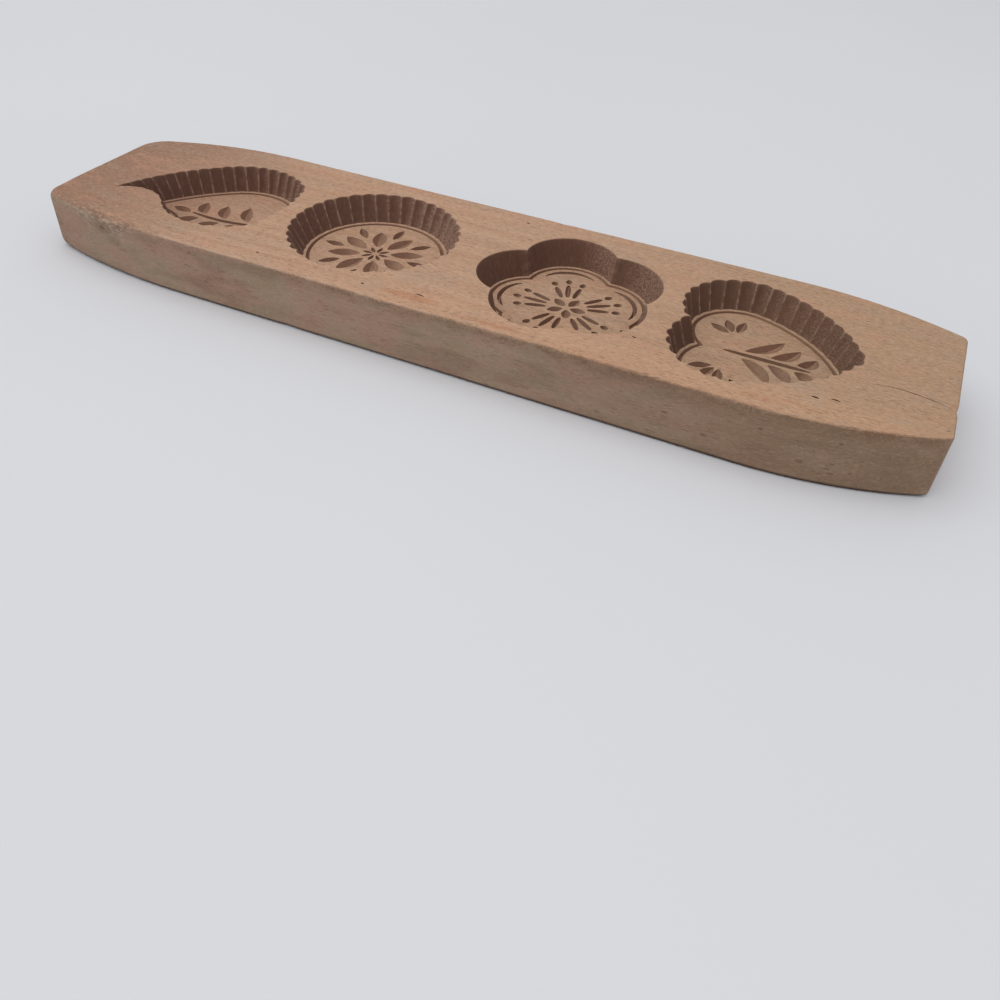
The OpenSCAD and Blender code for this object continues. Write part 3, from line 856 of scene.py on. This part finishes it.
wood = {
    # the browner colour for the left end is partly painted shade
    "pale": tint(201, 162, 133), "dark": tint(176, 134, 105), "handled": tint(151, 113, 92),
    "honey": tint(177, 144, 113), "warm": tint(208, 162, 129), "pink": tint(200, 148, 121),
    "ash": tint(174, 150, 130), "pore": tint(104, 74, 58), "lint": tint(218, 190, 164),
    "orange": tint(186, 122, 82),
    # the side colours are darker than the face's, partly as painted shade
    "side": tint(163, 136, 116), "sidePink": tint(164, 130, 111), "sideOlive": tint(152, 134, 109),
    "sideBrown": tint(136, 111, 88), "sideDark": tint(128, 104, 86), "sidePale": tint(170, 145, 126),
    "scuff": tint(190, 170, 149), "scuffDark": tint(110, 89, 74), "edgeBrown": tint(122, 91, 68),
    # the pale rim colour paints a highlight along the front edge
    "rimHighlight": tint(212, 176, 150), "endGrain": tint(160, 130, 114),
    # the darkest wall stain here paints shade on walls that face right, and the pale wall grain paints light
    # on walls that face left along with their end grain
    "stain": tint(97, 64, 51), "wallPaintedShade": tint(82, 52, 42), "stainOlive": tint(98, 70, 53),
    "stainPale": tint(126, 94, 78), "wallGrainAndLight": tint(172, 142, 122), "ridge": tint(178, 148, 128),
    "cut": tint(112, 76, 58), "hole": tint(58, 38, 28),
    "wander": 8,                              # how far the grain wanders across the board
    "endLeast": 0.3, "endGrit": 0.5,          # share of the end grain's colour, and what grit adds to it
    "bumpStrength": 0.4, "bumpDepth": 0.3, "bumpFibres": 0.5, "bumpGrit": 0.35, "bumpEnds": 0.9,
    "roughness": 0.6, "roughMottle": 0.14, "roughGrit": 0.08, "gloss": 0.25,
    "scuffMiddle": -152, "scuffReach": (30, 10, 4.5),    # reach along, down the side and into the face
    # colour marks on the front side: place along and up, half length, half height and strength
    "sideSpots": [(-152.8, 20, 7, 3.4, 0.35), (-152.8, 20, 2.6, 1.3, 0.75), (-147, 15.5, 5, 3, 0.2),
                  (-104.6, 21.4, 1.5, 0.7, 0.5), (-107.5, 15.3, 1.6, 0.7, 0.4), (99.2, 13, 1.6, 0.6, 0.6),
                  (114.1, 8.3, 1.6, 0.6, 0.6), (74.8, 4.8, 1.6, 0.6, 0.3), (132, 17.5, 1.2, 0.6, 0.6),
                  (147, 8.2, 2, 1, 0.45), (157.5, 9.6, 1.4, 0.5, 0.5), (156.4, 7.4, 1.6, 0.5, 0.5),
                  (158, 5.6, 1.6, 0.6, 0.5), (155, 5, 1.2, 0.5, 0.4), (164, 7, 1.3, 0.6, 0.4),
                  (158, 18.4, 1.1, 0.6, 0.7)],
    # colour marks on the face: place along and across, half length, half width and strength
    "faceSpots": [(-6, -41, 16, 3, 0.55), (30, -44, 18, 2, 0.4), (128, -42, 10, 2.4, 0.35),
                  (141, -39.6, 8, 0.45, 0.6), (146, -40.6, 5, 0.4, 0.6), (-11, 30, 5, 0.35, 0.4),
                  (-14, 27.8, 4, 0.3, 0.4), (188.6, -17.5, 1.4, 4, 0.3)],
}

# patterns in the wood: size of their grains along, across and up, then detail and roughness
patterns = {
    "wander": (70, 22, 22, 1, 0.5), "bands": (130, 4.5, 4.5, 3, 0.6), "fibres": (15, 0.42, 0.42, 2, 0.65),
    "dashes": (4.2, 0.4, 0.4, 1, 0.5), "lines": (30, 0.8, 0.8, 2, 0.5), "mottle": (24, 11, 11, 3, 0.65),
    "grit": (0.7, 0.7, 0.7, 2, 0.75), "specks": (2.4, 0.75, 0.75, 3, 0.8), "patches": (30, 13, 9, 2, 0.55),
    "ragged": (10, 4, 4, 3, 0.7), "coarse": (2.2, 1.6, 1.6, 4, 0.85), "streaky": (1.3, 1.3, 8, 2, 0.6),
    "broken": (3, 3, 2.5, 2, 0.6),
}

# how much there is of something: two values of a pattern, a place or a direction, and the share at each
amounts = {
    # which way the surface faces
    "upright": (0.55, 0.8, 1, 0), "onTop": (0.6, 0.9, 0, 1), "endGrain": (0.6, 0.95, 0, 1),
    "levelFibres": (0.55, 0.8, 0.5, 1), "levelSpecks": (0.55, 0.8, 0.4, 1),
    # the face
    # the left end's darker brown is partly painted shade
    "darkBands": (0.35, 0.7, 0, 0.55), "handled": (-190, -80, 0.85, 0), "honey": (0, 170, 0, 0.7),
    "warm": (-60, 0, 0, 0.45), "warmFront": (-44, -24, 1, 0), "pink": (0.5, 0.68, 0, 0.45),
    "ash": (0.3, 0.48, 0.35, 0), "unstained": (0, 0.1, 1, 0), "spot": (0.1, 1, 1, 0),
    # the sides
    "sidePink": (0.46, 0.62, 0, 0.85), "sideOlive": (0.36, 0.52, 0.75, 0), "sideBrown": (10, 190, 0, 0.85),
    "brownBands": (0.5, 0.66, 0, 0.15), "sideDark": (0.5, 0.66, 0, 0.45), "sidePale": (0.34, 0.5, 0.3, 0),
    # the dark line at the bottom edge is painted contact shadow with some dirt
    "cleanSide": (0.05, 0.2, 1, 0), "frontSide": (-30, -20, 1, 0), "grimeAndContactShadow": (0.7, 2, 0.92, 0),
    # fibres, pores and specks
    "fibres": (0.48, 0.78, 0, 0.4), "lines": (0.66, 0.8, 0, 0.3), "dashes": (0.62, 0.74, 0, 0.45),
    "dashDents": (0.62, 0.74, 0, -0.9),
    "darkSpecks": (0.5, 0.72, 0, 0.5), "paleSpecks": (0.28, 0.5, 0.45, 0),
    # the front rim: its reach down and inwards, then what lies on it
    # the light line on the rim is a painted highlight
    "rimDown": (0.2, 5, 1, 0), "rimIn": (0.2, 4, 1, 0), "highlightDown": (0.4, 1.2, 1, 0),
    "highlightIn": (0.5, 1.5, 1, 0), "bandDown": (1, 7, 1, 0), "bandIn": (0.2, 1.3, 1, 0),
    "leftPart": (-120, -40, 1, 0), "rightPart": (-120, -40, 0, 1), "scuffed": (0, 1, 1, 0),
    "raggedScuff": (0.34, 0.62, 0.45, 1), "raggedRim": (0.34, 0.62, 0, 0.6),
    "raggedBand": (0.34, 0.62, 0.3, 1), "rimDents": (0.34, 0.62, 0, 1.4),
    "scuffDark": (0.4, 0.58, 0.7, 0), "scuff": (0.48, 0.66, 0, 0.75),
    "highlightStart": (-135, -115, 0, 0.7), "highlightEnd": (-30, 50, 1, 0), "bandGrit": (0.42, 0.6, 0.8, 0.3),
    # the walls of the hollows, and the cuts
    # walls that face right are darkened as painted shade, and walls that face left are lightened as painted
    # light
    "stainPale": (0.4, 0.75, 0, 0.6), "stainOlive": (20, 110, 0, 0.7), "wallPaintedShade": (0, 0.5, 0, 0.45),
    "facingLeftLitAndGrainy": (-0.8, 0.25, 1, 0), "plainWalls": (20, 150, 1, 0.4), "wallGrit": (0.42, 0.6, 0.15, 1),
    "stained": (0.05, 0.6, 0, 0.94), "ridge": (0.4, 0.62, 0.2, 0.8),
    # cut faces that face right are darker: painted shade
    "cut": (0.05, 0.5, 0, 0.85), "cutPaintedShade": (-0.4, 0.4, 0.5, 1), "hole": (0.65, 0.85, 0, 1),
}


class BoardMap:
    # where a point lies on the board, which way it faces, and the patterns that run through it
    def __init__(self, start):
        self.start = start
        coords = start.node("TexCoord", {}, {}, "Object")
        self.place = coords.node("VectorMath", {"operation": "SCALE"}, {0: coords, "Scale": 1 / mm})
        self.x, self.y, self.z = self.place.split()
        normal = start.node("NewGeometry", {}, {}, "Normal").split()
        self.facing = normal[0]
        self.level = abs(normal[2])
        self.upright = self.level.amount("upright")
        self.endGrain = abs(self.facing).amount("endGrain")
        tone = start.node("Attribute", {"attribute_name": "tone"}, {}, "Color")
        self.stain, self.bare, self.cut = tone.split()

        # grain runs along the board and wanders a little
        across = self.y + self.noise("wander") * wood["wander"]
        self.wandering = self.place.node("CombineXYZ", {}, {0: self.x, 1: across, 2: self.z})
        self.bands = self.grain("bands")
        self.fibres = self.grain("fibres")
        self.dashes = self.grain("dashes")
        self.mottle = self.noise("mottle")
        self.grit = self.noise("grit")
        self.ragged = self.noise("ragged")

        # distances from the upper face and from the front edge, which curves in at both ends
        leftWay = (plank["leftTaper"] - plank["length"] / 2 - self.x).atLeast(0)
        rightWay = (self.x - plank["length"] / 2 + plank["rightTaper"]).atLeast(0)
        leftBend = 2 * taperRadius(plank["leftTaper"], plank["leftFrontHalf"])
        rightBend = 2 * taperRadius(plank["rightTaper"], plank["rightFrontHalf"])
        toFront = self.y + plank["width"] / 2 - leftWay * leftWay / leftBend
        self.toFront = toFront - rightWay * rightWay / rightBend
        self.fromTop = plank["thickness"] - self.z
        self.atRim = self.atEdge("rimDown", "rimIn")

    def noise(self, name):
        return self.place.speckle(*patterns[name])

    def grain(self, name):
        return self.wandering.speckle(*patterns[name])

    def atEdge(self, down, inwards):
        # 1 on the front edge of the upper face, 0 past either reach
        return self.fromTop.amount(down) * self.toFront.amount(inwards)

    def spots(self, rows, across):
        # soft ovals, the strongest one wins
        most = self.x * 0
        for along, aside, length, width, strength in rows:
            u = (self.x - along) / length
            v = (across - aside) / width
            most = most.atLeast((u * u + v * v).amount("spot") * strength)
        return most


def faceColour(at):
    # pale in the middle, browner and darker at the left end, partly from handling and partly painted shade,
    # yellower to the right
    face = at.start.mixed(wood["pale"], wood["dark"], at.bands.amount("darkBands"))
    # the left end's darker brown is partly painted shade
    face = face.coat("handled", at.x)
    face = face.coat("honey", at.x)
    face = face.blend(wood["warm"], at.x.amount("warm") * at.y.amount("warmFront"))
    face = face.coat("pink", at.mottle)
    face = face.coat("ash", at.mottle)
    onTop = at.level.amount("onTop") * at.stain.amount("unstained")
    return face.blend(wood["orange"], at.spots(wood["faceSpots"], at.y) * onTop)


def sideColourAndShade(at):
    # greyer and darker than the face, the darkness partly painted shade; mottled pink and olive, browner to
    # the right
    patches = at.noise("patches")
    side = at.start.mixed(wood["side"], wood["sidePink"], at.mottle.amount("sidePink"))
    side = side.coat("sideOlive", at.mottle)
    side = side.blend(wood["sideBrown"], at.x.amount("sideBrown") + at.bands.amount("brownBands"))
    side = side.coat("sideDark", patches)
    return side.coat("sidePale", patches)


def grainedWood(at):
    # face and sides with their fibres, pores and specks, the ends with speckled end grain
    specks = at.noise("specks")
    calm = at.level.amount("levelSpecks")
    # upright faces take the side colour, darker than the face partly as painted shade
    base = faceColour(at).blend(sideColourAndShade(at), at.upright * at.stain.amount("cleanSide"))
    base = base.blend(wood["dark"], at.fibres.amount("fibres") * at.level.amount("levelFibres"))
    base = base.blend(wood["pore"], at.grain("lines").amount("lines") + at.dashes.amount("dashes"))
    base = base.blend(wood["pore"], specks.amount("darkSpecks") * calm)
    base = base.blend(wood["lint"], specks.amount("paleSpecks") * calm)
    return base.blend(wood["endGrain"], at.endGrain * (wood["endLeast"] + at.grit * wood["endGrit"]))


def wornRimAndHighlight(at, base):
    # the front rim is grey and gritty at the left, where a scuff reaches further down than inwards
    reachAlong, reachDown, reachIn = wood["scuffReach"]
    along = (at.x - wood["scuffMiddle"]) / reachAlong
    below = at.fromTop / reachDown
    inwards = at.toFront / reachIn
    scuffed = (along * along + below * below + inwards * inwards).amount("scuffed")
    scuffed = scuffed * at.ragged.amount("raggedScuff")
    rubbed = (at.atRim * at.ragged.amount("raggedRim") * at.x.amount("leftPart")).atLeast(scuffed)
    coarse = at.noise("coarse")
    base = base.blend(wood["scuffDark"], rubbed * coarse.amount("scuffDark"))
    base = base.blend(wood["scuff"], rubbed * coarse.amount("scuff"))
    # then it has a painted highlight along the edge, and towards the right a brown band that lies a little
    # way down the side
    light = at.atEdge("highlightDown", "highlightIn") * at.x.amount("highlightStart") * at.x.amount("highlightEnd")
    base = base.blend(wood["rimHighlight"], light)
    band = at.atEdge("bandDown", "bandIn") * at.ragged.amount("raggedBand")
    return base.blend(wood["edgeBrown"], band * at.x.amount("rightPart") * at.grit.amount("bandGrit"))


def flecksAndContactShadow(at, base):
    # flecks in the front side, and a dark line at the bottom edge that is painted contact shadow with some
    # dirt
    front = at.upright * at.y.amount("frontSide")
    base = base.blend(wood["pore"], at.spots(wood["sideSpots"], at.z) * front)
    # painted contact shadow with some dirt: darker towards the bottom edge
    return base.blend(wood["hole"], at.z.amount("grimeAndContactShadow"))


def stainedAndShadedWalls(at, base):
    # dough has stained the walls and ridges are rubbed bare; walls that face right are darker as painted
    # shade, and walls that face left are paler as painted light and gritty with end grain
    wall = at.start.mixed(wood["stain"], wood["stainPale"], at.noise("streaky").amount("stainPale"))
    wall = wall.coat("stainOlive", at.x)
    # painted shade: walls that face right take a darker stain
    wall = wall.coat("wallPaintedShade", at.facing)
    # painted light, with end grain grit: walls that face left are paler
    gritty = at.facing.amount("facingLeftLitAndGrainy") * at.x.amount("plainWalls") * at.grit.amount("wallGrit")
    wall = wall.blend(wood["wallGrainAndLight"], gritty)
    stained = base.blend(wall, at.stain.amount("stained"))
    return stained.blend(wood["ridge"], at.bare * at.noise("broken").amount("ridge"))


def cutWoodAndShade(at, base):
    # carved cuts are brown, and darker where they face right as painted shade; pits and splits are nearly
    # black
    base = base.blend(wood["cut"], at.cut.amount("cut") * at.facing.amount("cutPaintedShade"))
    return base.coat("hole", at.cut)


def carvedWood():
    material, start = newMaterial("carvedWood")
    at = BoardMap(start)
    colour = flecksAndContactShadow(at, wornRimAndHighlight(at, grainedWood(at)))
    colour = cutWoodAndShade(at, stainedAndShadedWalls(at, colour))
    gritty = wood["bumpGrit"] + at.endGrain * wood["bumpEnds"] + at.atRim * at.ragged.amount("rimDents")
    height = at.fibres * wood["bumpFibres"] + at.dashes.amount("dashDents") + at.grit * gritty
    bump = start.node("Bump", {}, {"Strength": wood["bumpStrength"], "Distance": wood["bumpDepth"] * mm,
                                   "Height": height})
    roughness = wood["roughness"] + wood["roughMottle"] * at.mottle + wood["roughGrit"] * at.grit
    shader = start.node("BsdfPrincipled", {}, {"Base Color": colour, "Roughness": roughness, "Normal": bump,
                                               "Specular IOR Level": wood["gloss"]})
    start.node("OutputMaterial", {}, {"Surface": shader})
    return material


# the size of the paper's clouds is in metres
paperSet = {"cloud": (0.4, 0.4, 0.4, 2, 0.5), "pale": tint(226, 227, 231), "paler": tint(232, 233, 236),
            "roughness": 0.8}


def palePaper():
    material, start = newMaterial("palePaper")
    coords = start.node("TexCoord", {}, {}, "Object")
    colour = start.mixed(paperSet["pale"], paperSet["paler"], coords.speckle(*paperSet["cloud"]))
    shader = start.node("BsdfPrincipled", {}, {"Base Color": colour, "Roughness": paperSet["roughness"]})
    start.node("OutputMaterial", {}, {"Surface": shader})
    return material


board.data.materials.clear()
board.data.materials.append(carvedWood())
makeActive(board)
bpy.ops.object.shade_smooth_by_angle(angle=math.radians(plank["smoothAngle"]))
# wide flats keep their shading beside small roundings
flats = board.modifiers.new("flats", "WEIGHTED_NORMAL")
flats.keep_sharp = True
bpy.ops.object.modifier_apply(modifier=flats.name)
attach(board, "root")
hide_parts("mold_board")
print("board finished")


# floor, light and camera

studio = {
    "floorSide": 6, "skyStrength": 0.56, "sky": (0.97, 0.98, 1.0, 1),
    "topPlace": (-0.3, -0.3, 1.9), "topSide": 2.6, "topPower": 18.1,
    "fillPlace": (0.5, -1.2, 0.7), "fillSide": 1.2, "fillPower": 0.6,
}

# focus and picture are in pixels
cameraSet = {
    "place": (147.05, -305.69, 198.0), "turn": 22.71, "tilt": 47.97, "roll": 3.42,
    "focus": 899.9, "picture": 1000, "sensor": 36, "nearest": 10,
}


def makeFloor():
    deselectAll()
    bpy.ops.mesh.primitive_plane_add(size=studio["floorSide"])
    paper = bpy.context.active_object
    paper.name = "paperFloor"
    paper.data.materials.append(palePaper())


def makeLamp(name, place, side, power):
    deselectAll()
    bpy.ops.object.light_add(type="AREA", location=place)
    lamp = bpy.context.active_object
    lamp.name = name
    lamp.data.size = side
    lamp.data.energy = power
    lamp.rotation_euler = (-Vector(place)).to_track_quat("-Z", "Y").to_euler()


def makeWorld():
    world = bpy.data.worlds.new("softRoom")
    world.use_nodes = True
    sky = world.node_tree.nodes["Background"]
    sky.inputs["Color"].default_value = studio["sky"]
    sky.inputs["Strength"].default_value = studio["skyStrength"]
    bpy.context.scene.world = world


def makeCamera():
    deselectAll()
    bpy.ops.object.camera_add()
    camera = bpy.context.active_object
    turned = Matrix.Rotation(math.radians(cameraSet["turn"]), 4, "Z")
    turned @= Matrix.Rotation(math.radians(cameraSet["tilt"]), 4, "X")
    turned @= Matrix.Rotation(math.radians(cameraSet["roll"]), 4, "Z")
    camera.matrix_world = Matrix.Translation(Vector(cameraSet["place"]) * mm) @ turned
    camera.data.sensor_width = cameraSet["sensor"]
    camera.data.lens = cameraSet["focus"] / cameraSet["picture"] * cameraSet["sensor"]
    camera.data.clip_start = cameraSet["nearest"] * mm
    bpy.context.scene.camera = camera


makeFloor()
makeLamp("topLight", studio["topPlace"], studio["topSide"], studio["topPower"])
makeLamp("fillLight", studio["fillPlace"], studio["fillSide"], studio["fillPower"])
makeWorld()
makeCamera()
bpy.context.scene.view_settings.view_transform = "Standard"
print("studio ready")
